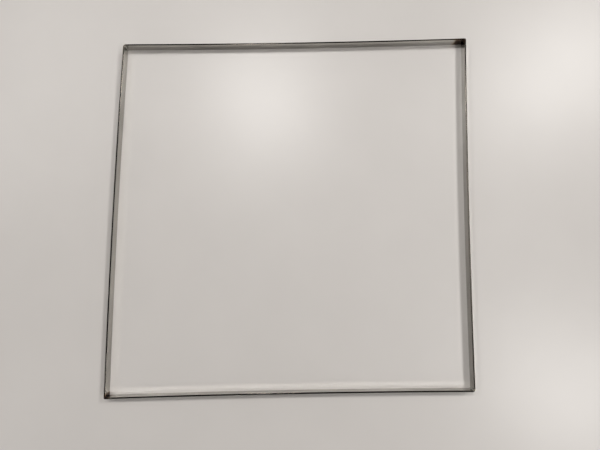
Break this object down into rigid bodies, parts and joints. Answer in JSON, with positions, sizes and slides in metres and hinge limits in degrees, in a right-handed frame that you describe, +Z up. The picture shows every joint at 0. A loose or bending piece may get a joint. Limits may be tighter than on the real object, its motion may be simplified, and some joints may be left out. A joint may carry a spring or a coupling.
{
  "type": "pastry frame",
  "caption": "Square open frame of thin steel strip on edge, bent and welded at its corners, that holds pastry, ganache or sponge to a level sheet.",
  "frame": {"origin": "middle of the frame, on the surface that it stands on", "axes": "+X along the front side towards the right, +Y from the front side to the rear, +Z up through the opening"},
  "size_m": [0.3504, 0.3398, 0.01],
  "materials": {
    "strip_steel": "bright cold-rolled stainless steel, with fine marks along the strip",
    "weld_steel": "stainless weld, ground round and darkened by heat"
  },
  "bodies": {
    "root": {"front_right_strip": "strip_steel", "rear_left_strip": "strip_steel", "front_left_weld": "weld_steel", "rear_right_weld": "weld_steel"}
  },
  "joints": []
}
